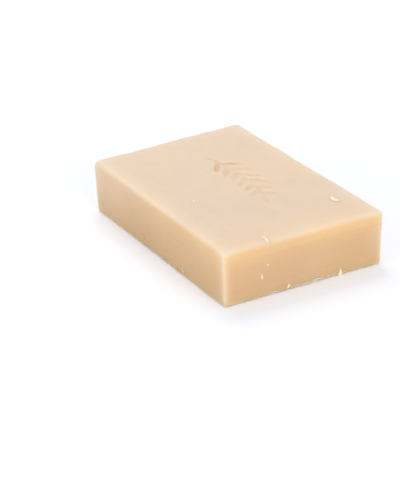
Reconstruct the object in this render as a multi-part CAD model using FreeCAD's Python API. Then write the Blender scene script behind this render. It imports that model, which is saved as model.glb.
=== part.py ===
# A hand-cut bar of soap: one solid block with softened edges and a leaf sprig pressed into its top.
#
# The block is cut from a poured loaf with a wire, so no face is quite square to the next: each side
# leans out a little towards the top, and the two end cuts open towards the back. The top rim was
# rubbed round while the soap was fresh, the upright corners less so, and the base edge is only broken.
# A stamp was then pressed into the top. It leaves flat floors, sloping walls and a softened mouth.
#
# Frame: X runs along the length, Y across the width, Z up. The origin is the centre of the base.
# Lengths are millimetres and angles are degrees.
import FreeCAD
import Part

import math
import os

# The block, measured at mid height on its two centre lines.
bar_length = 90.0
bar_width = 62.0
bar_height = 20.0

# How far each cut is off square. A lean tips a side outwards at the top, and a skew turns an end cut
# so that the bar is longer at the back than at the front.
front_lean = 2.0
right_lean = 0.8
back_lean = 0.4
left_lean = 1.3
right_skew = 1.6
left_skew = 1.2

# Edges.
rim_radius = 1.6
corner_radius = 1.0
base_bevel = 0.4

# The pressed sprig: the place of its stem's middle on the top, and the stem, an arc that turns
# through the given angle from end to end.
sprig_x = -5.0
sprig_y = 6.8
stem_length = 38.0
stem_turn = 31.0
stem_width = 1.1
stem_depth = 0.45
bare_stem = 5.0

# Its leaves, which grow in pairs from the bare stem on and are smaller towards the tip.
leaf_pairs = 6
leaf_length = 8.6
leaf_width = 2.4
tip_leaf_length = 5.4
tip_leaf_width = 1.8
leaf_angle = 44.0
leaf_depth = 0.6
leaf_stagger = 1.6

# How the stamp's edges show in the soap. The margin is how far its cutters stand above the surface.
wall_draft = 24.0
mouth_bevel = 0.25
cut_margin = 0.5

Z_AXIS = FreeCAD.Vector(0, 0, 1)
SAME_HEIGHT = 1e-6


# The block


def side_cut(direction, reach, lean, skew):
    """One wire cut: its outward direction in plan, turned by the skew, its reach and its slope."""
    angle = math.radians(direction + skew)
    return math.cos(angle), math.sin(angle), reach, math.tan(math.radians(lean))


def where_cuts_meet(cut_a, cut_b, height):
    """The corner of two neighbouring cuts at a height above the base."""
    ax, ay, a_reach, a_slope = cut_a
    bx, by, b_reach, b_slope = cut_b
    a = a_reach + a_slope * (height - bar_height / 2)
    b = b_reach + b_slope * (height - bar_height / 2)
    cross = ax * by - ay * bx
    return FreeCAD.Vector((a * by - b * ay) / cross, (b * ax - a * bx) / cross, height)


def flat_face(corners):
    """A face from its corners, which run anticlockwise as seen from outside the solid."""
    return Part.Face(Part.makePolygon(corners + corners[:1]))


def sharp_block():
    """The block as the wire leaves it, with sharp edges."""
    cuts = [
        side_cut(-90, bar_width / 2, front_lean, 0),
        side_cut(0, bar_length / 2, right_lean, -right_skew),
        side_cut(90, bar_width / 2, back_lean, 0),
        side_cut(180, bar_length / 2, left_lean, left_skew),
    ]
    pairs = [(cuts[i - 1], cuts[i]) for i in range(len(cuts))]
    base = [where_cuts_meet(a, b, 0) for a, b in pairs]
    top = [where_cuts_meet(a, b, bar_height) for a, b in pairs]
    faces = [flat_face(base[::-1]), flat_face(top)]
    for i in range(len(cuts)):
        faces.append(flat_face([base[i - 1], base[i], top[i], top[i - 1]]))
    return Part.Solid(Part.Shell(faces))


def edges_between(shape, lowest, highest):
    """The edges whose lower and upper ends are at these two heights."""
    found = []
    for edge in shape.Edges:
        heights = sorted(vertex.Z for vertex in edge.Vertexes)
        if abs(heights[0] - lowest) < SAME_HEIGHT and abs(heights[-1] - highest) < SAME_HEIGHT:
            found.append(edge)
    return found


def rounded_block():
    """The block with its upright corners rounded, its base edge broken and its rim rubbed round."""
    block = sharp_block()
    block = block.makeFillet(corner_radius, edges_between(block, 0, bar_height))
    block = block.makeChamfer(base_bevel, edges_between(block, 0, 0))
    return block.makeFillet(rim_radius, edges_between(block, bar_height, bar_height))


# The pressed sprig


def on_stem(run):
    """A point of the stem and its heading in degrees, at a run along the arc from its middle."""
    radius = stem_length / math.radians(stem_turn)
    turn = run / radius
    x = sprig_x + radius * math.sin(turn)
    y = sprig_y - radius * (1 - math.cos(turn))
    return FreeCAD.Vector(x, y, bar_height), -math.degrees(turn)


def stamp_levels(depth):
    """The stamp's wall from its floor up: how far out from the drawn line, and how high above the soap."""
    wall_height = depth - mouth_bevel
    return [
        (-wall_height * math.tan(math.radians(wall_draft)), -depth),
        (0, -mouth_bevel),
        (mouth_bevel + cut_margin, cut_margin),
    ]


def section_face(points, place):
    """A face that stands across the stem at a place on it, from points given as across and up."""
    corners = [place + FreeCAD.Vector(0, across, up) for across, up in points]
    return Part.Face(Part.makePolygon(corners + corners[:1]))


def stem_cutter():
    """The stem: the stamp's section swept along the arc, and turned round at both ends."""
    one_side = [(stem_width / 2 + out, height) for out, height in stamp_levels(stem_depth)]
    other_side = [(-across, height) for across, height in reversed(one_side)]
    axis = [(0, one_side[-1][1]), (0, one_side[0][1])]
    middle, _ = on_stem(0)
    arc_centre = middle - FreeCAD.Vector(0, stem_length / math.radians(stem_turn), 0)
    section = section_face(one_side + other_side, middle)
    section.rotate(arc_centre, Z_AXIS, -stem_turn / 2)
    ends = []
    for run in (-stem_length / 2, stem_length / 2):
        end, _ = on_stem(run)
        ends.append(section_face(one_side + axis, end).revolve(end, Z_AXIS, 360))
    return section.revolve(arc_centre, Z_AXIS, stem_turn).fuse(ends)


def leaf_outline(length, width, margin, height):
    """A leaf's outline, two arcs from base to tip, grown by a margin, at a height above the soap."""
    half_length = length / 2 + margin * length / width
    half_width = width / 2 + margin
    base = FreeCAD.Vector(length / 2 - half_length, 0, height)
    tip = FreeCAD.Vector(length / 2 + half_length, 0, height)
    arcs = []
    for start, end, side in ((base, tip, 1), (tip, base, -1)):
        belly = FreeCAD.Vector(length / 2, side * half_width, height)
        arcs.append(Part.Arc(start, belly, end).toShape())
    return Part.Wire(arcs)


def leaf_cutter(length, width):
    """A leaf as the stamp holds it: flat floor, drafted wall, and a bevel at the mouth."""
    outlines = [leaf_outline(length, width, out, height) for out, height in stamp_levels(leaf_depth)]
    return Part.makeLoft(outlines, True, True)


def leaf_at(run, side, share):
    """One leaf that starts at the stem's edge. The share runs from 0 at the lowest pair to 1 at the tip."""
    length = leaf_length + share * (tip_leaf_length - leaf_length)
    width = leaf_width + share * (tip_leaf_width - leaf_width)
    point, heading = on_stem(run)
    leaf = leaf_cutter(length, width)
    leaf.translate(FreeCAD.Vector(stem_width / 2, 0, 0))
    leaf.rotate(FreeCAD.Vector(), Z_AXIS, heading + side * leaf_angle)
    leaf.translate(point)
    return leaf


def sprig_cutters():
    """The stem, its pairs of leaves and the leaf at its tip."""
    cutters = [stem_cutter()]
    first = -stem_length / 2 + bare_stem
    step = (stem_length - bare_stem) / leaf_pairs
    for pair in range(leaf_pairs):
        run = first + pair * step
        share = pair / leaf_pairs
        cutters.append(leaf_at(run, -1, share))
        cutters.append(leaf_at(run + leaf_stagger, 1, share))
    cutters.append(leaf_at(stem_length / 2, 0, 1))
    return cutters


# The bar


def base_centre(shape):
    box = shape.optimalBoundingBox(False, False)
    return FreeCAD.Vector((box.XMin + box.XMax) / 2, (box.YMin + box.YMax) / 2, box.ZMin)


def soap_bar():
    bar = rounded_block()
    for cutter in sprig_cutters():
        bar = bar.cut(cutter)
    bar.translate(-base_centre(bar))
    return bar


os.makedirs("parts", exist_ok=True)
soap_bar().exportStep("parts/soap_bar.step")
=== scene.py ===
import math

import bpy
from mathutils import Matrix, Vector


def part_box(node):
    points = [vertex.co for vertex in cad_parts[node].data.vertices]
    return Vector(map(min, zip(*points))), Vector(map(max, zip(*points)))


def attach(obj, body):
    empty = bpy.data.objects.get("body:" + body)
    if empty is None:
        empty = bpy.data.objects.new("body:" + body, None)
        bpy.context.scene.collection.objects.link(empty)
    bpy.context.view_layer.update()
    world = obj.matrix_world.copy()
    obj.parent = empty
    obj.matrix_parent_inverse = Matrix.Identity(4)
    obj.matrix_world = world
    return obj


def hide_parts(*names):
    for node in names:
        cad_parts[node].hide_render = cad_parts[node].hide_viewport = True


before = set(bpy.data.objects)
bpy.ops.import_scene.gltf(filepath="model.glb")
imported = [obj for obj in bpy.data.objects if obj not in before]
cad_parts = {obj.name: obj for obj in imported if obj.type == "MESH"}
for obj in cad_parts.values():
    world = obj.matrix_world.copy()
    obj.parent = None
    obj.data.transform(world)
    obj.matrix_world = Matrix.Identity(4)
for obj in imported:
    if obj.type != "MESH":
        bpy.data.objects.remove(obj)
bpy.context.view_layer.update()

# The soap bar
# A slab of poured soap, cut from its loaf with a wire, rubbed round at the rim and stamped while fresh.
# It is one solid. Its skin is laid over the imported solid, then gets what the wire and the hand leave on it.

bar_low, bar_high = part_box("soap_bar")

# The grid of the skin: how many cells each way, and the stretch where they lie closer, round the stamp.
cells = (230, 141, 38)
close_low = Vector((-0.0285, -0.0035, 0.0030))
close_high = Vector((0.0200, 0.0155, 0.0170))
cells_before = (30, 51, 7)
cells_after = (48, 32, 8)
core_inset = 0.0050

# The skin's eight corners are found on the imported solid, at two levels between its rounded edges.
corner_levels = (0.0004, 0.0184)
level_margin = 0.0003
corner_rounding = 0.0003
corner_names = [
    f"{end} {side} {level} corner"
    for end in ("Left", "Right") for side in ("front", "back") for level in ("base", "top")
]

# What the wire, the hand and the stamp leave: rounds of softening, heights in metres, and the share of
# the stamp's depth that springs back at the most.
softening = 3
waviness = 0.00022
wire_ripple = 0.00009
rim_wobble = 0.00090
ragged_base = 0.00030
lip_height = 0.00012
spring_back = 0.62

# The patterns they follow: the scale, the detail and the seed. The ripple's place is stretched before.
skin_patterns = {
    "spring": (85, 1.0, 6.0),
    "wave": (24, 2.0, 3.0),
    "ripple": (1.0, 1.0, 21.0),
    "rim": (75, 2.0, 14.0),
    "rag": (420, 3.0, 8.0),
}
ripple_stretch = (12, 12, 260)

# The stamp's floor is told by its depth below the top, from none of it to all of it.
floor_depths = (0.00005, 0.00045)

# Small dents and nicks: the place, the radius and the depth, in metres.
dents = (
    ((-0.0085, -0.0309, 0.0037), 0.0012, 0.00030),
    ((0.0366, -0.0312, 0.0190), 0.0009, 0.00010),
    ((0.0447, -0.0054, 0.0008), 0.0011, 0.00050),
    ((0.0450, 0.0052, 0.0000), 0.0022, 0.00040),
    ((0.0445, -0.0115, 0.0000), 0.0016, 0.00035),
    ((0.0456, 0.0217, 0.0126), 0.0007, 0.00015),
    ((-0.0452, 0.0120, 0.0060), 0.0012, 0.00035),
    ((-0.0448, -0.0090, 0.0000), 0.0020, 0.00040),
    ((-0.0210, 0.0311, 0.0000), 0.0022, 0.00045),
    ((0.0250, 0.0312, 0.0085), 0.0010, 0.00030),
    ((-0.0060, -0.0304, 0.0000), 0.0020, 0.00035),
)

# The patterns in the soap's colour and relief, in the same form as the skin's. The drag of the wire is
# stretched too, and pinholes have a pattern of cells, some of which hold one, in sizes of a range.
soap_patterns = {
    "cloud": (42, 2.0, 1.0),
    "blush": (30, 2.0, 5.0),
    "patch": (320, 3.0, 2.0),
    "grain": (1500, 3.0, 3.0),
    "pores": (5200, 2.0, 6.0),
    "drag": (1.0, 2.0, 4.0),
}
drag_stretch = (14, 14, 900)
pinhole_cells = 420
pinhole_share = 0.16
pinhole_radii = (0.05, 0.12)

# The shades that the soap's colour is multiplied by, as red, green and blue. Some are painted light and
# shade: the low sides, the rim, the corners, the top edges and the base edge.
shades = {
    "painted shade low on the sides": (0.925, 0.930, 0.900),
    "aired side": (1.045, 1.005, 1.000),
    "fresh end": (1.015, 1.005, 0.935),
    "painted rim glow at the left end": (1.000, 1.060, 1.110),
    "painted rim glow at the right end": (1.100, 1.150, 1.050),
    "corner": (1.030, 1.075, 1.090),
    "painted glow near the top edges": (1.025, 1.055, 1.080),
    "base edge": (1.070, 0.985, 0.930),
    "pinhole": (0.860, 0.800, 0.740),
    "wire streak": (0.985, 0.972, 0.955),
    "grey cloud": (0.965, 0.955, 0.955),
    "pink cloud": (1.000, 0.965, 0.980),
    "yellow cloud": (1.000, 1.000, 0.940),
    "speckle": (0.985, 0.980, 0.970),
}

# Patches of the soap's colour: the place, the radius, and the shade it adds. Most are where the soap dried a
# little greyer or stayed oilier; the last two are painted shade and painted glow.
blotches = (
    ((0.0450, 0.0020, 0.0060), 0.0120, (1.000, 1.015, 1.060)),
    ((0.0450, 0.0200, 0.0120), 0.0150, (0.985, 0.965, 0.940)),
    ((0.0450, -0.0230, 0.0040), 0.0080, (0.995, 0.975, 0.960)),
    ((0.0250, 0.0100, 0.0200), 0.0110, (0.985, 0.975, 0.975)),
    ((0.0273, -0.0015, 0.0200), 0.0042, (0.992, 0.962, 0.915)),
    ((0.0276, 0.0243, 0.0200), 0.0016, (1.000, 0.960, 0.910)),
    # Painted shade: low on the front the soap is darker.
    ((-0.0120, -0.0310, 0.0050), 0.0200, (0.962, 0.950, 0.932)),
    # Painted glow: at the right end's far upright corner the soap is paler, as where light from behind comes
    # round it.
    ((0.0458, 0.0312, 0.0110), 0.0090, (1.000, 1.085, 1.170)),
)


def add_node(tree, kind, inputs, **settings):
    """Adds a node, sets it, and fills its sockets with values or with the outputs of other nodes."""
    node = tree.nodes.new(kind)
    for name, value in settings.items():
        setattr(node, name, value)
    for socket, value in inputs.items():
        if isinstance(value, bpy.types.NodeSocket):
            tree.links.new(value, node.inputs[socket])
        else:
            node.inputs[socket].default_value = value
    return node


def maths(tree, operation, *values, clamp=False):
    inputs = dict(enumerate(values))
    return add_node(tree, "ShaderNodeMath", inputs, operation=operation, use_clamp=clamp).outputs[0]


def product(tree, *values):
    """The values multiplied, one after the other."""
    result = values[0]
    for value in values[1:]:
        result = maths(tree, "MULTIPLY", result, value)
    return result


def vector_maths(tree, operation, *values):
    node = add_node(tree, "ShaderNodeVectorMath", dict(enumerate(values)), operation=operation)
    return node.outputs["Value" if operation in ("LENGTH", "DISTANCE") else "Vector"]


def scaled(tree, vector, factor):
    inputs = {0: vector, "Scale": factor}
    return add_node(tree, "ShaderNodeVectorMath", inputs, operation="SCALE").outputs[0]


def parts_of(tree, vector):
    return add_node(tree, "ShaderNodeSeparateXYZ", {0: vector}).outputs


def vector_of(tree, x=0.0, y=0.0, z=0.0):
    return add_node(tree, "ShaderNodeCombineXYZ", {0: x, 1: y, 2: z}).outputs[0]


def ramp(tree, value, start, end, low=0.0, high=1.0):
    """A smooth step of a value from one level to another."""
    inputs = {0: value, 1: start, 2: end, 3: low, 4: high}
    return add_node(tree, "ShaderNodeMapRange", inputs, interpolation_type="SMOOTHSTEP").outputs[0]


def noise(tree, place, scale, detail, seed):
    """Noise between about 0 and 1 that is fixed to the soap. The seed is a place in the noise."""
    inputs = {"Vector": place, "Scale": scale, "Detail": detail, "W": seed}
    return add_node(tree, "ShaderNodeTexNoise", inputs, noise_dimensions="4D").outputs[0]


def new_tree(name, inputs):
    """A geometry tree with named inputs, which are given by the kind of their sockets."""
    tree = bpy.data.node_groups.new(name, "GeometryNodeTree")
    tree.interface.new_socket("Geometry", in_out="INPUT", socket_type="NodeSocketGeometry")
    for kind, labels in inputs.items():
        for label in labels:
            tree.interface.new_socket(label, in_out="INPUT", socket_type="NodeSocket" + kind)
    tree.interface.new_socket("Geometry", in_out="OUTPUT", socket_type="NodeSocketGeometry")
    return tree, tree.nodes.new("NodeGroupInput").outputs


def close_tree(tree, geometry, material):
    """Ends a tree: real geometry, its material, smooth shading."""
    real = add_node(tree, "GeometryNodeRealizeInstances", {"Geometry": geometry}).outputs[0]
    smooth = add_node(tree, "GeometryNodeSetShadeSmooth", {"Geometry": real}).outputs[0]
    inputs = {"Geometry": smooth, "Material": material}
    coated = add_node(tree, "GeometryNodeSetMaterial", inputs).outputs[0]
    add_node(tree, "NodeGroupOutput", {"Geometry": coated})


def own(tree, what):
    """What each point has of its own: its Position or its Normal."""
    return add_node(tree, "GeometryNodeInput" + what, {}).outputs[0]


def shape_of(tree, item):
    """The geometry of an object that the tree is given."""
    info = add_node(tree, "GeometryNodeObjectInfo", {"Object": item}, transform_space="RELATIVE")
    return info.outputs["Geometry"]


def moved(tree, geometry, **where):
    """The geometry with its points moved, to a Position or by an Offset."""
    return add_node(tree, "GeometryNodeSetPosition", {"Geometry": geometry, **where}).outputs[0]


def store(tree, geometry, name, value):
    """Keeps a number on the points of the mesh, for the material to read."""
    inputs = {"Geometry": geometry, "Name": name, "Value": value}
    return add_node(tree, "GeometryNodeStoreNamedAttribute", inputs, data_type="FLOAT").outputs[0]


def named(tree, label):
    """A number kept on the points before."""
    return add_node(tree, "GeometryNodeInputNamedAttribute", {"Name": label}).outputs[0]


def grow(name, tree, sizes):
    """Runs a geometry tree with its inputs set and keeps the result as a plain mesh."""
    piece = bpy.data.objects.new(name, bpy.data.meshes.new(name))
    bpy.context.scene.collection.objects.link(piece)
    modifier = piece.modifiers.new(name, "NODES")
    modifier.node_group = tree
    for item in tree.interface.items_tree:
        if item.item_type == "SOCKET" and item.name in sizes:
            modifier[item.identifier] = sizes[item.name]
    depsgraph = bpy.context.evaluated_depsgraph_get()
    mesh = bpy.data.meshes.new_from_object(piece.evaluated_get(depsgraph))
    piece.modifiers.remove(modifier)
    piece.data = mesh
    return piece


def marks_at(name, places, **numbers):
    """A mesh of loose points with numbers on them, which a tree reads as places."""
    mesh = bpy.data.meshes.new(name)
    mesh.from_pydata(places, [], [])
    for label, values in numbers.items():
        layer = mesh.attributes.new(label, "FLOAT", "POINT")
        layer.data.foreach_set("value", values)
    marks = bpy.data.objects.new(name, mesh)
    bpy.context.scene.collection.objects.link(marks)
    return marks


def upright_corner(end, side, height):
    """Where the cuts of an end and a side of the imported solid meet, carried on to a height."""
    corners = []
    for level in corner_levels:
        points = [vertex.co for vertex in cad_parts["soap_bar"].data.vertices]
        near = [point for point in points if abs(point.z - level) < level_margin]
        corners.append(max(near, key=lambda point: end * point.x + side * point.y))
    low, high = corners
    corner = low.lerp(high, (height - low.z) / (high.z - low.z))
    return corner + Vector((end, side, 0)) * corner_rounding


def leaning(tree, corners, shares):
    """The place in a leaning box for shares of its length, width and height."""
    points = corners
    x, y, z = parts_of(tree, shares)
    for share in (z, y, x):
        points = [
            add_node(tree, "ShaderNodeMix", {0: share, 4: a, 5: b}, data_type="VECTOR").outputs[1]
            for a, b in zip(points[0::2], points[1::2])
        ]
    return points[0]


def box_of_cells(tree, size):
    """A box of cells, and each point's place on the leaning block and on a core that lies inside it."""
    counts = {
        f"Vertices {axis}": maths(tree, "ADD", size[label], 1)
        for axis, label in (("X", "Cells along"), ("Y", "Cells across"), ("Z", "Cells up"))
    }
    box = add_node(tree, "GeometryNodeMeshCube", {"Size": (1, 1, 1), **counts}).outputs[0]
    share = vector_maths(tree, "ADD", own(tree, "Position"), (0.5, 0.5, 0.5))

    # Spread the cells: wider at both ends of each axis, closer round the stamp and the middle.
    close_span = vector_maths(tree, "SUBTRACT", size["Close high"], size["Close low"])
    last_span = vector_maths(tree, "SUBTRACT", size["Box high"], size["Close high"])
    spread = None
    for start, end, low, high in (
        ((0, 0, 0), size["Close from"], size["Box low"], size["Close low"]),
        (size["Close from"], size["Close to"], (0, 0, 0), close_span),
        (size["Close to"], (1, 1, 1), (0, 0, 0), last_span),
    ):
        inputs = {6: share, 7: start, 8: end, 9: low, 10: high}
        part = add_node(tree, "ShaderNodeMapRange", inputs, data_type="FLOAT_VECTOR").outputs[1]
        spread = part if spread is None else vector_maths(tree, "ADD", spread, part)
    lengths = vector_maths(tree, "SUBTRACT", size["Box high"], size["Box low"])
    share = vector_maths(tree, "DIVIDE", vector_maths(tree, "SUBTRACT", spread, size["Box low"]), lengths)

    # Keep how far each point lies from the upright corners, the rim and the base edge, in millimetres.
    below = vector_maths(tree, "MULTIPLY", share, lengths)
    above = vector_maths(tree, "SUBTRACT", lengths, below)
    x, y, _ = parts_of(tree, vector_maths(tree, "MINIMUM", below, above))
    side = maths(tree, "MINIMUM", x, y)
    for label, distance in (
        ("corner_mm", maths(tree, "MAXIMUM", x, y)),
        ("rim_mm", maths(tree, "MAXIMUM", side, parts_of(tree, above)[2])),
        ("base_mm", maths(tree, "MAXIMUM", side, parts_of(tree, below)[2])),
        ("side_mm", side),
    ):
        box = store(tree, box, label, maths(tree, "MULTIPLY", distance, 1000))

    inset = size["Core inset"]
    inset = vector_maths(tree, "DIVIDE", vector_of(tree, inset, inset, inset), lengths)
    far_inset = vector_maths(tree, "SUBTRACT", (1, 1, 1), inset)
    core_share = vector_maths(tree, "MINIMUM", vector_maths(tree, "MAXIMUM", share, inset), far_inset)
    corners = [size[label] for label in corner_names]
    return box, leaning(tree, corners, share), leaning(tree, corners, core_share)


def laid_over(tree, size):
    """The box of cells, thrown outwards from the core until each point meets the solid's face."""
    box, box_place, core = box_of_cells(tree, size)
    hit = add_node(tree, "GeometryNodeRaycast", {
        "Target Geometry": shape_of(tree, size["Solid"]),
        "Source Position": core,
        "Ray Direction": vector_maths(tree, "SUBTRACT", box_place, core),
        "Ray Length": 0.05,
    }).outputs["Hit Position"]
    return moved(tree, box, Position=hit)


def stamped(tree, size, skin):
    """Tells what the stamp pressed down, lets it spring back in places, and softens all that is crisp."""
    position = own(tree, "Position")
    sunk = maths(tree, "SUBTRACT", parts_of(tree, size["Box high"])[2], parts_of(tree, position)[2])
    inside = ramp(tree, named(tree, "side_mm"), 3.5, 5.0)
    on_top = maths(tree, "MULTIPLY", inside, maths(tree, "LESS_THAN", sunk, 0.002))
    sprung = ramp(tree, noise(tree, position, *skin_patterns["spring"]), 0.42, 0.62)
    sprung = product(tree, sprung, on_top, size["Spring back"])
    pressed = product(tree, on_top, ramp(tree, sunk, *floor_depths), maths(tree, "SUBTRACT", 1, sprung))
    skin = store(tree, skin, "pressed", pressed)
    skin = moved(tree, skin, Offset=vector_of(tree, z=maths(tree, "MULTIPLY", sunk, sprung)))
    inputs = {"Value": position, "Iterations": size["Softening"]}
    soft = add_node(tree, "GeometryNodeBlurAttribute", inputs, data_type="FLOAT_VECTOR").outputs[0]
    return moved(tree, skin, Position=soft)


def worked(tree, size, skin):
    """Moves the skin in and out by what the wire, the stamp and the hand left on it."""
    position = own(tree, "Position")
    normal = own(tree, "Normal")
    height = parts_of(tree, position)[2]
    up = parts_of(tree, normal)[2]
    from_corner, from_rim, from_base = (named(tree, label) for label in ("corner_mm", "rim_mm", "base_mm"))

    def swing(label, place, middle=0.5):
        """A pattern that goes to both sides of zero."""
        return maths(tree, "SUBTRACT", noise(tree, place, *skin_patterns[label]), middle)

    # The faces wave a little, and the wire left ripples that run along the cut sides.
    lifted = ramp(tree, height, 0.0002, 0.0015)
    wave = product(tree, swing("wave", position), size["Waviness"], lifted)
    from_edge = maths(tree, "MINIMUM", maths(tree, "MINIMUM", from_corner, from_rim), from_base)
    upright = ramp(tree, maths(tree, "ABSOLUTE", up), 0.5, 0.1)
    stretched = vector_maths(tree, "MULTIPLY", position, ripple_stretch)
    ripple = product(
        tree, swing("ripple", stretched), size["Wire ripple"], upright, ramp(tree, from_edge, 0.5, 2.5)
    )

    # The rim was rubbed unevenly, the base edge is ragged, and a lip stands round what was pressed down.
    wobble = product(tree, swing("rim", position), size["Rim wobble"], ramp(tree, from_rim, 3.0, 0.5))
    low_edge = maths(tree, "MULTIPLY", ramp(tree, height, 0.0016, 0.0), ramp(tree, up, -0.9, -0.5))
    rag = product(tree, swing("rag", position, 0.55), size["Ragged base"], low_edge)
    pressed = named(tree, "pressed")
    around = add_node(tree, "GeometryNodeBlurAttribute", {"Value": pressed, "Iterations": 7}).outputs[0]
    lip = product(tree, around, maths(tree, "SUBTRACT", 1, pressed), size["Lip height"])

    # Each point looks to the nearest dent.
    marks = shape_of(tree, size["Dents"])
    nearest = add_node(tree, "GeometryNodeSampleNearest", {0: marks}).outputs[0]

    def of_nearest(value, kind):
        inputs = {0: marks, 1: value, 2: nearest}
        return add_node(tree, "GeometryNodeSampleIndex", inputs, data_type=kind).outputs[0]

    apart = vector_maths(tree, "DISTANCE", position, of_nearest(position, "FLOAT_VECTOR"))
    apart = maths(tree, "DIVIDE", apart, of_nearest(named(tree, "radius"), "FLOAT"))
    dent = maths(tree, "MULTIPLY", ramp(tree, apart, 1.0, 0.15), of_nearest(named(tree, "depth"), "FLOAT"))
    skin = store(tree, skin, "dent", ramp(tree, apart, 1.0, 0.4))

    out = maths(tree, "SUBTRACT", wave, dent)
    for part in (lip, rag, wobble, ripple):
        out = maths(tree, "ADD", out, part)
    skin = moved(tree, skin, Offset=scaled(tree, normal, out))
    skin = moved(tree, skin, Position=vector_maths(tree, "MAXIMUM", position, (-1, -1, 0)))
    # The faces that look up are marked dry: there the soap gets its dry bloom and also a painted sheen that
    # makes it paler.
    return store(tree, skin, "dry", ramp(tree, up, 0.35, 0.95))


def skin_tree():
    """The bar's skin: a box of cells laid over the solid, stamped and softened, then worked by hand."""
    tree, size = new_tree("Cut and stamped skin", {
        "Object": ("Solid", "Dents"),
        "Int": ("Cells along", "Cells across", "Cells up", "Softening"),
        "Vector": (
            "Box low", "Box high", "Close low", "Close high", "Close from", "Close to", *corner_names,
        ),
        "Float": (
            "Core inset", "Waviness", "Wire ripple", "Rim wobble", "Ragged base", "Lip height",
            "Spring back",
        ),
        "Material": ("Soap",),
    })
    skin = laid_over(tree, size)
    skin = stamped(tree, size, skin)
    skin = worked(tree, size, skin)
    close_tree(tree, skin, size["Soap"])
    return tree


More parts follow.
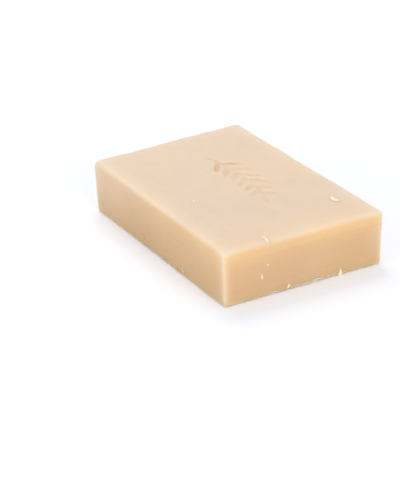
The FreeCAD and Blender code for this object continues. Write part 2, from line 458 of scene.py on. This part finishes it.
def soap_surface():
    """How soap looks up close, shared by the bar and what flakes off it: colour, roughness and relief."""
    group = bpy.data.node_groups.new("Soap surface", "ShaderNodeTree")
    for direction, kind, labels in (
        ("INPUT", "Color", ("Fresh", "Dried and sheen", "Rubbed and highlit", "Pressed in")),
        ("INPUT", "Float", ("Dryness and top sheen", "From corner", "From rim", "From base", "Pressed", "Dent")),
        ("OUTPUT", "Color", ("Colour",)),
        ("OUTPUT", "Float", ("Roughness", "Relief")),
    ):
        for label in labels:
            group.interface.new_socket(label, in_out=direction, socket_type="NodeSocket" + kind)
    given = group.nodes.new("NodeGroupInput").outputs
    coordinates = add_node(group, "ShaderNodeTexCoord", {}).outputs
    place = coordinates["Object"]
    along, _, height = parts_of(group, place)

    def mix(share, a, b):
        """From one colour to another. Each is a socket or a shade."""
        a, b = ((*colour, 1.0) if isinstance(colour, tuple) else colour for colour in (a, b))
        return add_node(group, "ShaderNodeMix", {0: share, 6: a, 7: b}, data_type="RGBA").outputs[2]

    def tint(colour, share, shade):
        """The colour, times a shade where the share is full."""
        return vector_maths(group, "MULTIPLY", colour, mix(share, (1.0, 1.0, 1.0), shade))

    cloud, blush, patch, grain, pores = (
        noise(group, place, *soap_patterns[label]) for label in ("cloud", "blush", "patch", "grain", "pores")
    )
    stretched = vector_maths(group, "MULTIPLY", place, drag_stretch)
    drag = noise(group, stretched, *soap_patterns["drag"])

    # Pinholes that air left: one in a few cells of the pattern has one, each of its own size.
    pits = add_node(group, "ShaderNodeTexVoronoi", {"Vector": place, "Scale": pinhole_cells}).outputs
    chance, size, _ = add_node(group, "ShaderNodeSeparateColor", {0: pits["Color"]}).outputs
    there = maths(group, "LESS_THAN", chance, pinhole_share)
    radius = maths(group, "MULTIPLY", ramp(group, size, 0.0, 1.0, *pinhole_radii), there)
    radius = maths(group, "MAXIMUM", radius, 0.001)
    pinhole = ramp(group, maths(group, "DIVIDE", pits["Distance"], radius), 1.0, 0.35)

    # On top a skin of dry bloom and a painted sheen make the soap paler; the bloom is thinner on the sides
    # that stood in the air, and the soap is fresher in the cuts.
    bloom_and_sheen = maths(group, "MULTIPLY", given["Dryness and top sheen"], ramp(group, cloud, 0.1, 0.6, 0.85, 1.0))
    aired = ramp(group, maths(group, "MULTIPLY_ADD", cloud, 0.02, along), 0.024, -0.040, 0.0, 0.75)
    aired = maths(group, "MULTIPLY", aired, ramp(group, height, 0.0, 0.014, 0.35, 1.0))
    colour = mix(maths(group, "MAXIMUM", bloom_and_sheen, aired), given["Fresh"], given["Dried and sheen"])
    side = maths(group, "SUBTRACT", 1, given["Dryness and top sheen"], clamp=True)
    # Painted shade: the sides are darker towards the bottom, the right end only a little.
    low = maths(group, "MULTIPLY", ramp(group, height, 0.015, 0.001), side)
    low = maths(group, "MULTIPLY", low, ramp(group, along, 0.0440, 0.0330, 0.25, 1.0))
    colour = tint(colour, low, shades["painted shade low on the sides"])
    colour = tint(colour, maths(group, "MULTIPLY", aired, side), shades["aired side"])
    fresh_end = maths(group, "MULTIPLY", ramp(group, along, 0.028, 0.043), given["Dryness and top sheen"])
    colour = tint(colour, fresh_end, shades["fresh end"])

    # The painted corner glow and the pale corner line reach further round to the long sides than to the ends.
    endwise = maths(group, "ABSOLUTE", parts_of(group, coordinates["Normal"])[0])
    from_corner = maths(group, "MULTIPLY", given["From corner"], ramp(group, endwise, 0.2, 0.95, 0.85, 1.4))

    # Painted glow, where thin soap would let light through: the sides are made paler along the rim and the
    # corners, the rim more towards the right end, and the top near its edges.
    painted_rim_glow_shade = mix(ramp(group, along, -0.030, 0.044), shades["painted rim glow at the left end"], shades["painted rim glow at the right end"])
    painted_rim_glow = maths(group, "MULTIPLY", ramp(group, given["From rim"], 9.5, 1.2), side)
    colour = tint(colour, painted_rim_glow, painted_rim_glow_shade)
    painted_corner_glow = maths(group, "MULTIPLY", ramp(group, from_corner, 6.5, 0.0), side)
    colour = tint(colour, painted_corner_glow, shades["corner"])
    painted_top_glow = ramp(group, maths(group, "MINIMUM", given["From corner"], given["From rim"]), 8.0, 0.5)
    colour = tint(colour, maths(group, "MULTIPLY", painted_top_glow, given["Dryness and top sheen"]), shades["painted glow near the top edges"])

    # Part rubbed wear, part painted highlight: the upright corners are made pale in a narrow line and softly
    # round it, the rim softly and most at its four tips, and the base edge only here and there.
    uneven = ramp(group, patch, 0.3, 0.7, 0.8, 1.25)
    corner_highlight_line = ramp(group, maths(group, "DIVIDE", from_corner, uneven), 1.0, 0.2, 0.0, 0.20)
    corner_rub_and_highlight = maths(group, "ADD", corner_highlight_line, ramp(group, from_corner, 3.6, 0.2, 0.0, 0.38))
    corner_rub_and_highlight = maths(group, "MULTIPLY", corner_rub_and_highlight, ramp(group, height, 0.0005, 0.003))
    rim_rub_and_highlight = ramp(group, maths(group, "DIVIDE", given["From rim"], uneven), 3.2, 0.2, 0.0, 0.18)
    tip = ramp(group, given["From corner"], 8.0, 1.0, 0.0, 0.35)
    tip = maths(group, "MULTIPLY", tip, ramp(group, given["From rim"], 3.0, 0.5))
    base_rub_and_highlight = ramp(group, maths(group, "DIVIDE", given["From base"], uneven), 1.2, 0.5, 0.0, 0.75)
    base_rub_and_highlight = maths(group, "MULTIPLY", base_rub_and_highlight, ramp(group, patch, 0.36, 0.58))
    rub_and_highlight = maths(group, "MAXIMUM", corner_rub_and_highlight, maths(group, "ADD", rim_rub_and_highlight, tip))
    colour = mix(maths(group, "MAXIMUM", rub_and_highlight, base_rub_and_highlight), colour, given["Rubbed and highlit"])

    # Painted light: the base edge is a little warmer, as if lit from the table through the soap.
    colour = tint(colour, ramp(group, given["From base"], 1.8, 0.3), shades["base edge"])

    # The stamp's floor is waxier, and warmer in places. So is the floor of a dent, but less.
    warm = maths(group, "MULTIPLY", ramp(group, blush, 0.35, 0.65, 0.15, 0.75), given["Pressed"])
    warm = maths(group, "MULTIPLY", warm, ramp(group, along, 0.010, -0.020, 0.60, 1.30))
    colour = mix(warm, colour, given["Pressed in"])
    colour = mix(maths(group, "MULTIPLY", given["Dent"], 0.25), colour, given["Pressed in"])

    # Painted shade: the pinholes are darkened.
    colour = tint(colour, maths(group, "MULTIPLY", pinhole, 0.8), shades["pinhole"])
    for centre, radius, shade in blotches:
        away = vector_maths(group, "DISTANCE", place, centre)
        away = maths(group, "MULTIPLY_ADD", patch, radius * 0.4, away)
        colour = tint(colour, ramp(group, away, radius * 1.2, radius * 0.3), shade)

    # Streaks that the wire drew along the cut sides, and faint clouds through the whole bar.
    streak = maths(group, "MULTIPLY", ramp(group, drag, 0.50, 0.70), side)
    colour = tint(colour, streak, shades["wire streak"])
    colour = tint(colour, ramp(group, cloud, 0.45, 0.75), shades["grey cloud"])
    colour = tint(colour, ramp(group, blush, 0.5, 0.75), shades["pink cloud"])
    colour = tint(colour, ramp(group, blush, 0.5, 0.25), shades["yellow cloud"])
    colour = tint(colour, ramp(group, patch, 0.5, 0.8), shades["speckle"])

    rough = ramp(group, patch, 0.3, 0.7, 0.40, 0.50)
    rough = maths(group, "MULTIPLY_ADD", given["Dryness and top sheen"], 0.06, rough)
    rough = maths(group, "MULTIPLY_ADD", given["Pressed"], -0.08, rough)
    lines = maths(group, "MULTIPLY", maths(group, "SUBTRACT", drag, 0.5), side)
    relief = maths(group, "MULTIPLY", grain, 0.30)
    for pattern, share in ((lines, 0.70), (patch, 0.45), (pores, 0.10), (pinhole, -0.90)):
        relief = maths(group, "MULTIPLY_ADD", pattern, share, relief)
    add_node(group, "NodeGroupOutput", {"Colour": colour, "Roughness": rough, "Relief": relief})
    return group


def srgb(red, green, blue):
    """A colour as it shows on screen, from 0 to 255, made linear for the shader."""
    linear = []
    for level in (red, green, blue):
        share = level / 255
        linear.append(share / 12.92 if share <= 0.04045 else ((share + 0.055) / 1.055) ** 2.4)
    return (*linear, 1.0)


def soap_material(name, surface, colours, marks, relief_depth, glow_depth=0.0):
    """A soap from its colours and its marks, which are names of attributes or one number for all of it.

    Light goes in as deep as the glow depth says, and without one it stays at the surface.
    """
    material = bpy.data.materials.new(name)
    material.use_nodes = True
    tree = material.node_tree
    tree.nodes.clear()
    inputs = dict(colours)
    for label, mark in marks.items():
        if isinstance(mark, str):
            mark = add_node(tree, "ShaderNodeAttribute", {}, attribute_name=mark).outputs["Fac"]
        inputs[label] = mark
    look = add_node(tree, "ShaderNodeGroup", inputs, node_tree=surface).outputs
    bump = add_node(tree, "ShaderNodeBump", {
        "Height": look["Relief"], "Strength": 1.0, "Distance": relief_depth,
    })
    soap = add_node(tree, "ShaderNodeBsdfPrincipled", {
        "Base Color": look["Colour"],
        "Roughness": look["Roughness"],
        "Normal": bump.outputs["Normal"],
        "IOR": 1.46,
        "Subsurface Weight": 1.0 if glow_depth else 0.0,
        "Subsurface Radius": (1.0, 0.62, 0.38),
        "Subsurface Scale": glow_depth,
    })
    add_node(tree, "ShaderNodeOutputMaterial", {"Surface": soap.outputs[0]})
    return material


surface = soap_surface()
bar_soap = soap_material(
    "Cured soap",
    surface,
    colours={
        "Fresh": srgb(229, 193, 151),
        "Dried and sheen": srgb(233, 209, 183),
        "Rubbed and highlit": srgb(235, 222, 206),
        "Pressed in": srgb(226, 183, 126),
    },
    marks={
        "Dryness and top sheen": "dry",
        "From corner": "corner_mm",
        "From rim": "rim_mm",
        "From base": "base_mm",
        "Pressed": "pressed",
        "Dent": "dent",
    },
    relief_depth=0.00022,
    glow_depth=0.0045,
)
dent_places, dent_radii, dent_depths = zip(*dents)
dent_marks = marks_at("dent_marks", dent_places, radius=dent_radii, depth=dent_depths)
corner_places = [
    upright_corner(end, side, height)
    for end in (-1, 1) for side in (-1, 1) for height in (bar_low.z, bar_high.z)
]
bar_skin = grow("bar_skin", skin_tree(), {
    **dict(zip(corner_names, corner_places)),
    "Solid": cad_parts["soap_bar"],
    "Dents": dent_marks,
    "Cells along": cells[0],
    "Cells across": cells[1],
    "Cells up": cells[2],
    "Box low": bar_low,
    "Box high": bar_high,
    "Close low": close_low,
    "Close high": close_high,
    "Close from": [first / count for first, count in zip(cells_before, cells)],
    "Close to": [1 - last / count for last, count in zip(cells_after, cells)],
    "Core inset": core_inset,
    "Softening": softening,
    "Waviness": waviness,
    "Wire ripple": wire_ripple,
    "Rim wobble": rim_wobble,
    "Ragged base": ragged_base,
    "Lip height": lip_height,
    "Spring back": spring_back,
    "Soap": bar_soap,
})
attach(bar_skin, "root")
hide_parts("soap_bar")

# Shavings and crumbs
# Thin flakes and grains of the same soap, which the wire tore off and which stuck where they fell.
# They dry paler than the bar. The larger ones lie where they were found, and crumbs line the base edge.

# Each mark: the place, the length and the width, the turn about the face in degrees, how far its ends
# lift as a share of its length, and how pale it has dried.
flakes = (
    ((0.0296, 0.0229, 0.0200), 0.0046, 0.0018, 188, 0.05, 1.0),
    ((0.0424, -0.0141, 0.0200), 0.0050, 0.0012, -8, 0.02, 0.90),
    ((0.0174, -0.0307, 0.0021), 0.0028, 0.0006, -38, 0.10, 0.5),
    ((0.0172, -0.0307, 0.0013), 0.0019, 0.0005, 62, 0.10, 0.4),
    ((0.0446, -0.0116, 0.0007), 0.0026, 0.0006, 90, 0.05, 0.9),
    ((0.0446, -0.0104, 0.0019), 0.0026, 0.0004, 0, 0.02, 0.35),
    ((0.0446, -0.0190, 0.0006), 0.0034, 0.0005, 90, 0.03, 0.6),
    ((0.0449, 0.0006, 0.0008), 0.0040, 0.0004, 90, 0.02, 0.6),
    ((0.0450, 0.0052, 0.0009), 0.0050, 0.0005, 90, 0.00, 0.8),
    ((0.0366, -0.0313, 0.0188), 0.0014, 0.0010, 20, 0.0, 0.45),
    ((-0.0452, -0.0140, 0.0110), 0.0030, 0.0008, 20, 0.08, 0.8),
    ((-0.0200, 0.0311, 0.0140), 0.0036, 0.0009, -30, 0.10, 0.9),
    ((0.0150, 0.0311, 0.0050), 0.0022, 0.0006, 55, 0.08, 0.5),
)
splinters = (
    ((0.0453, 0.0143, 0.0016), 0.0034, 0.0023, 180, 0.06, 1.0),
    ((0.0447, -0.0062, 0.0021), 0.0018, 0.0019, 195, 0.12, 0.85),
    ((-0.0450, 0.0170, 0.0012), 0.0028, 0.0018, 15, 0.06, 0.8),
)
grains = (
    ((0.0052, -0.0186, 0.0200), 0.0019, 0.0017, 0, 0.0, 0.8),
    ((0.0149, -0.0232, 0.0200), 0.0014, 0.0011, 20, 0.0, 0.75),
    ((0.0038, 0.0137, 0.0200), 0.0008, 0.0006, 0, 0.0, 0.9),
    ((-0.0230, -0.0010, 0.0200), 0.0006, 0.0005, 0, 0.0, 0.8),
    ((0.0447, -0.0137, 0.0159), 0.0010, 0.0008, 0, 0.0, 0.6),
    ((0.0446, -0.0144, 0.0118), 0.0013, 0.0009, 30, 0.0, 0.65),
    ((0.0445, -0.0167, 0.0080), 0.0022, 0.0014, 185, 0.0, 0.85),
    ((0.0447, -0.0049, 0.0010), 0.0009, 0.0007, 0, 0.0, 0.5),
    ((0.0456, 0.0218, 0.0128), 0.0006, 0.0004, 0, 0.0, 0.5),
    ((0.0104, -0.0308, 0.0046), 0.0006, 0.0005, 0, 0.0, 0.3),
    ((0.0042, -0.0304, 0.0010), 0.0016, 0.0012, 80, 0.0, 0.0),
    ((0.0064, -0.0304, 0.0011), 0.0022, 0.0013, 95, 0.0, 0.1),
    ((0.0100, -0.0304, 0.0010), 0.0015, 0.0011, 70, 0.0, 0.0),
    ((0.0136, -0.0305, 0.0010), 0.0018, 0.0012, 100, 0.0, 0.05),
    ((-0.0451, 0.0050, 0.0140), 0.0010, 0.0007, 0, 0.0, 0.7),
    ((-0.0050, 0.0311, 0.0100), 0.0012, 0.0008, 40, 0.0, 0.7),
)
flake_thickness = 0.08

# Crumbs lie in clumps between two heights. Both densities are counts on a square metre.
crumb_band = (0.00030, 0.0014)
clump_level = 0.52
crumb_density = 420000
dust_density = 5000
crumb_size = 0.00070
crumb_seed = 5
dust_seed = 12

# The patterns of a flake's outline, of a grain and of the clumps, in the same form as the skin's.
flake_pattern = (3.2, 2.0, 6.0)
grain_pattern = (2.6, 2.0, 7.0)
clump_pattern = (130, 2.0, 9.0)


def flake_shape(tree, pointed):
    """A flake one unit long and wide. It is flat for now, and each point keeps how high it will lie."""
    box = add_node(tree, "GeometryNodeMeshCube", {
        "Size": (1, 1, 1), "Vertices X": 15, "Vertices Y": 7, "Vertices Z": 2,
    }).outputs[0]
    position = own(tree, "Position")
    u, v, w = parts_of(tree, position)
    along = maths(tree, "MULTIPLY", u, 2)
    curl = maths(tree, "MULTIPLY", along, along)
    if pointed:
        taper = ramp(tree, along, 1.05, -0.9)
        bow = 0.0
    else:
        taper = maths(tree, "SQRT", maths(tree, "MULTIPLY_ADD", curl, -0.97, 1))
        bow = 0.35
    uneven = ramp(tree, noise(tree, position, *flake_pattern), 0.3, 0.7, 0.7, 1.15)
    sway = maths(tree, "MULTIPLY", maths(tree, "SUBTRACT", 1, curl), bow)
    flat = vector_of(tree, u, maths(tree, "ADD", product(tree, v, taper, uneven), sway))
    round_back = maths(tree, "MULTIPLY_ADD", maths(tree, "MULTIPLY", v, v), -3.4, 1)
    body = maths(tree, "MULTIPLY", round_back, maths(tree, "MULTIPLY_ADD", taper, 0.7, 0.3))
    box = store(tree, box, "thick", maths(tree, "MULTIPLY", maths(tree, "ADD", w, 0.3), body))
    box = store(tree, box, "curl", curl)
    return moved(tree, box, Position=flat)


def grain_shape(tree):
    """A grain about one unit across, uneven, and narrower at one end."""
    ball = add_node(tree, "GeometryNodeMeshIcoSphere", {"Radius": 0.5, "Subdivisions": 2}).outputs[0]
    position = own(tree, "Position")
    swell = ramp(tree, noise(tree, position, *grain_pattern), 0.3, 0.7, 0.7, 1.15)
    narrowing = ramp(tree, parts_of(tree, position)[0], 0.5, -0.4, 0.65, 1.05)
    lumpy = vector_maths(tree, "MULTIPLY", scaled(tree, position, swell), vector_of(tree, 1, narrowing, 1))
    return moved(tree, ball, Position=lumpy)


def on_the_bar(tree, bar, data, place):
    """What the bar's nearest surface has of a field, at a place."""
    inputs = {"Mesh": bar, "Value": data, "Sample Position": place}
    return add_node(tree, "GeometryNodeSampleNearestSurface", inputs, data_type="FLOAT_VECTOR").outputs[0]


def laid_on(tree, points, shape, facing, spin, scale):
    """The shape once at each point, flat on the face there and turned about its normal."""
    aligned = add_node(tree, "FunctionNodeAlignRotationToVector", {"Vector": facing}, axis="Z").outputs[0]
    about = add_node(tree, "FunctionNodeAxisAngleToRotation", {"Axis": (0, 0, 1), "Angle": spin}).outputs[0]
    turned = add_node(tree, "FunctionNodeRotateRotation", {
        "Rotation": aligned, "Rotate By": about,
    }, rotation_space="LOCAL").outputs[0]
    return add_node(tree, "GeometryNodeInstanceOnPoints", {
        "Points": points, "Instance": shape, "Rotation": turned, "Scale": scale,
    }).outputs[0]


def flake_tree(pointed):
    """Flakes laid on the bar at marked places, so that each follows the face or the rim it lies on."""
    tree, size = new_tree("Shavings", {
        "Object": ("Bar", "Marks"),
        "Float": ("Flake thickness",),
        "Material": ("Dry soap",),
    })
    bar = shape_of(tree, size["Bar"])
    position = own(tree, "Position")
    facing = on_the_bar(tree, bar, own(tree, "Normal"), position)
    length, width, turn = (named(tree, label) for label in ("length", "width", "turn"))
    scale = vector_of(tree, length, width, 1.0)
    laid = laid_on(tree, shape_of(tree, size["Marks"]), flake_shape(tree, pointed), facing, turn, scale)
    real = add_node(tree, "GeometryNodeRealizeInstances", {"Geometry": laid}).outputs[0]

    # Lay every point on the bar, then raise it by the flake's body and by how its ends lift.
    body = product(tree, named(tree, "thick"), size["Flake thickness"], length)
    rise = product(tree, named(tree, "curl"), named(tree, "lift"), length)
    raised = scaled(tree, facing, maths(tree, "ADD", body, rise))
    seated = vector_maths(tree, "ADD", on_the_bar(tree, bar, position, position), raised)
    above_table = vector_maths(tree, "MAXIMUM", seated, (-1, -1, 0))
    close_tree(tree, moved(tree, real, Position=above_table), size["Dry soap"])
    return tree


def random_number(tree, low, high, seed):
    """A number between two others that each point draws for itself."""
    inputs = {2: low, 3: high, 8: seed}
    return add_node(tree, "FunctionNodeRandomValue", inputs, data_type="FLOAT").outputs[1]


def crumb_tree():
    """Grains at marked places, crumbs along the base edge, and dust on the back and the left end."""
    tree, size = new_tree("Crumbs", {
        "Object": ("Bar", "Marks"),
        "Float": ("Crumbs per square metre", "Dust per square metre", "Crumb size"),
        "Int": ("Crumb seed", "Dust seed"),
        "Material": ("Dry soap",),
    })
    bar = shape_of(tree, size["Bar"])
    position = own(tree, "Position")
    normal = own(tree, "Normal")
    facing = on_the_bar(tree, bar, normal, position)
    grain = grain_shape(tree)
    length, width, turn = (named(tree, label) for label in ("length", "width", "turn"))
    scale = vector_of(tree, length, width, maths(tree, "MULTIPLY", width, 0.5))
    sets = [laid_on(tree, shape_of(tree, size["Marks"]), grain, facing, turn, scale)]

    # The crumbs keep to a low band, in clumps, and the dust to the two sides that face away.
    height = parts_of(tree, position)[2]
    x, y, _ = parts_of(tree, normal)
    above = maths(tree, "GREATER_THAN", height, crumb_band[0])
    below = maths(tree, "LESS_THAN", height, crumb_band[1])
    clumped = maths(tree, "GREATER_THAN", noise(tree, position, *clump_pattern), clump_level)
    low_band = product(tree, above, below, clumped)
    facing_away = maths(tree, "GREATER_THAN", maths(tree, "SUBTRACT", y, x), 0.5)
    for where, label, seed in (
        (low_band, "Crumbs per square metre", "Crumb seed"),
        (facing_away, "Dust per square metre", "Dust seed"),
    ):
        points = add_node(tree, "GeometryNodeDistributePointsOnFaces", {
            "Mesh": bar, "Selection": where, "Density": size[label], "Seed": size[seed],
        }).outputs[0]
        bulk = random_number(tree, 0.3, 1.0, 1)
        breadth = random_number(tree, 0.5, 1.0, 2)
        spin = random_number(tree, 0.0, 6.28, 3)
        long = product(tree, bulk, bulk, size["Crumb size"])
        wide = maths(tree, "MULTIPLY", long, breadth)
        scale = vector_of(tree, long, wide, maths(tree, "MULTIPLY", wide, 0.7))
        points = store(tree, points, "dry", maths(tree, "MULTIPLY", bulk, 0.9))
        sets.append(laid_on(tree, points, grain, facing, spin, scale))
    joined = tree.nodes.new("GeometryNodeJoinGeometry")
    for instances in sets:
        tree.links.new(instances, joined.inputs[0])
    close_tree(tree, joined.outputs[0], size["Dry soap"])
    return tree


def mark_points(name, rows):
    """The marked places, with what each needs, as loose points."""
    places, lengths, widths, turns, lifts, palenesses = zip(*rows)
    turns = [math.radians(turn) for turn in turns]
    return marks_at(
        name, places, length=lengths, width=widths, turn=turns, lift=lifts, dry=palenesses
    )


# What has come off has no edges of the bar near it, so its distances to them are large.
dry_soap = soap_material(
    "Dry shavings",
    surface,
    colours={
        "Fresh": srgb(228, 190, 148),
        "Dried and sheen": srgb(255, 244, 223),
    },
    marks={
        "Dryness and top sheen": "dry",
        "From corner": 20.0,
        "From rim": 20.0,
        "From base": 20.0,
    },
    relief_depth=0.00006,
)
flake_marks = mark_points("flake_marks", flakes)
splinter_marks = mark_points("splinter_marks", splinters)
grain_marks = mark_points("grain_marks", grains)
shavings = grow("shavings", flake_tree(False), {
    "Bar": bar_skin, "Marks": flake_marks, "Flake thickness": flake_thickness, "Dry soap": dry_soap,
})
splinter_pieces = grow("splinters", flake_tree(True), {
    "Bar": bar_skin, "Marks": splinter_marks, "Flake thickness": flake_thickness, "Dry soap": dry_soap,
})
crumbs = grow("crumbs", crumb_tree(), {
    "Bar": bar_skin,
    "Marks": grain_marks,
    "Crumbs per square metre": crumb_density,
    "Dust per square metre": dust_density,
    "Crumb size": crumb_size,
    "Crumb seed": crumb_seed,
    "Dust seed": dust_seed,
    "Dry soap": dry_soap,
})
for marks in (dent_marks, flake_marks, splinter_marks, grain_marks):
    bpy.data.objects.remove(marks)
for piece in (shavings, splinter_pieces, crumbs):
    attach(piece, "root")

# The stage
# A white table that runs back out of sight, and three soft lamps.
# Towards the camera the table is lifted to white, and the bar's shadow stays on it.

table_reach = 3.0
floor_mesh = bpy.data.meshes.new("floor")
floor_corners = [(x * table_reach, y * table_reach, 0) for x, y in ((-1, -1), (1, -1), (1, 1), (-1, 1))]
floor_mesh.from_pydata(floor_corners, [], [(0, 1, 2, 3)])
floor = bpy.data.objects.new("floor", floor_mesh)
bpy.context.scene.collection.objects.link(floor)
white_table = bpy.data.materials.new("White table")
white_table.use_nodes = True
tree = white_table.node_tree
tree.nodes.clear()
to_camera = add_node(tree, "ShaderNodeLightPath", {}).outputs["Is Camera Ray"]
white = add_node(tree, "ShaderNodeMix", {
    0: to_camera, 6: (0.86, 0.86, 0.86, 1.0), 7: (0.81, 0.83, 0.89, 1.0),
}, data_type="RGBA").outputs[2]
paper = add_node(tree, "ShaderNodeBsdfDiffuse", {"Color": white})
from_bar = vector_maths(tree, "LENGTH", add_node(tree, "ShaderNodeTexCoord", {}).outputs["Object"])
lift = maths(tree, "MULTIPLY", to_camera, ramp(tree, from_bar, 0.1, 0.6, 0.21, 0.8))
glow = add_node(tree, "ShaderNodeEmission", {"Color": (1, 1, 1, 1), "Strength": lift})
both = add_node(tree, "ShaderNodeAddShader", {0: paper.outputs[0], 1: glow.outputs[0]})
add_node(tree, "ShaderNodeOutputMaterial", {"Surface": both.outputs[0]})
floor_mesh.materials.append(white_table)

# The room is plain white where it is seen, and dimmer and a little cooler where it lights the bar.
world = bpy.data.worlds.new("Bright room")
bpy.context.scene.world = world
world.use_nodes = True
tree = world.node_tree
tree.nodes.clear()
light_path = add_node(tree, "ShaderNodeLightPath", {}).outputs
seen = maths(tree, "MAXIMUM", light_path["Is Camera Ray"], light_path["Is Transmission Ray"])
seen = maths(tree, "MAXIMUM", seen, light_path["Is Glossy Ray"])
strength = ramp(tree, seen, 0.0, 1.0, 0.70, 1.0)
daylight = add_node(tree, "ShaderNodeMix", {
    0: seen, 6: (0.955, 0.97, 1.0, 1.0), 7: (1.0, 1.0, 1.0, 1.0),
}, data_type="RGBA").outputs[2]
room = add_node(tree, "ShaderNodeBackground", {"Color": daylight, "Strength": strength})
add_node(tree, "ShaderNodeOutputWorld", {"Surface": room.outputs[0]})


lamp_aim = Vector((0, 0, 0.01))


def soft_lamp(name, place, size, power):
    """A square soft lamp that looks at the middle of the bar."""
    light = bpy.data.lights.new(name, "AREA")
    light.size = size
    light.energy = power
    light.color = (1.0, 0.98, 0.94)
    lamp = bpy.data.objects.new(name, light)
    lamp.location = place
    lamp.rotation_euler = (lamp_aim - lamp.location).to_track_quat("-Z", "Y").to_euler()
    bpy.context.scene.collection.objects.link(lamp)


soft_lamp("back_left_lamp", (-0.50, 0.12, 0.86), 0.5, 2.6)
soft_lamp("right_lamp", (0.95, -0.05, 0.32), 0.5, 2.6)
soft_lamp("front_lamp", (0.05, -0.95, 0.32), 0.5, 1.35)

# The camera
# It stands where the photograph was taken from, with the same lens, and sees the same frame.

camera_data = bpy.data.cameras.new("camera")
camera_data.lens = 118.8
camera_data.sensor_width = 36.0
camera = bpy.data.objects.new("camera", camera_data)
camera.location = (0.44270, -0.27617, 0.25977)
aim = Vector((0.02040, -0.02560, 0.01000))
roll = math.radians(-0.92)
turn = (aim - camera.location).to_track_quat("-Z", "Y").to_matrix().to_4x4()
turn = turn @ turn.Rotation(roll, 4, "Z")
camera.rotation_euler = turn.to_euler()
bpy.context.scene.collection.objects.link(camera)
bpy.context.scene.camera = camera
bpy.context.scene.view_settings.view_transform = "Standard"
